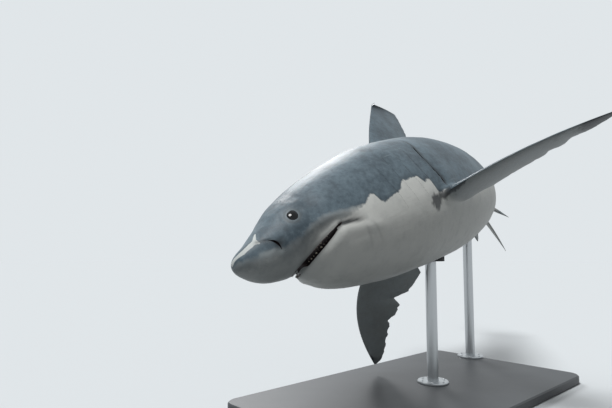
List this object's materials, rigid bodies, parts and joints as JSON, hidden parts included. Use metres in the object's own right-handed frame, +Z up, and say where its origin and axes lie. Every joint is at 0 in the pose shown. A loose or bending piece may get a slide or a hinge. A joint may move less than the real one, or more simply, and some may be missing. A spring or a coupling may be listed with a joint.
{
  "type": "great white shark display model",
  "caption": "Life-size great white shark in a banked, nose-down glide, tail swung aside, mouth slightly open, held over a flat plinth by two upright rods.",
  "frame": {"origin": "middle of the display stand's underside, on the floor", "axes": "+Z up; -Y is the way the snout points, seen from above; +X is the side of the animal's left pectoral fin"},
  "size_m": [2.5581, 3.9756, 2.1594],
  "materials": {
    "slate_skin": "satin",
    "pale_skin": "satin",
    "fin_skin": "satin",
    "eye": "gloss",
    "stand_paint": "satin",
    "stand_steel": "satin",
    "stand_rubber": "matte"
  },
  "bodies": {
    "root": {"snout": "slate_skin", "head": "slate_skin", "gill_region": "slate_skin", "trunk_front": "slate_skin", "trunk_middle": "slate_skin", "trunk_rear": "slate_skin", "tail_stock": "slate_skin", "lower_jaw": "pale_skin", "dorsal_fin": "fin_skin", "second_dorsal_fin": "fin_skin", "anal_fin": "fin_skin", "pectoral_fin_left": "fin_skin", "pectoral_fin_right": "fin_skin", "pelvic_fin_left": "fin_skin", "pelvic_fin_right": "fin_skin", "tail_fin_upper": "fin_skin", "tail_fin_lower": "fin_skin", "eye_left": "eye", "eye_right": "eye", "stand_base": "stand_paint", "stand_rod_front": "stand_steel", "stand_flange_front": "stand_steel", "stand_pad_front": "stand_rubber", "stand_rod_rear": "stand_steel", "stand_flange_rear": "stand_steel", "stand_pad_rear": "stand_rubber"}
  },
  "joints": []
}
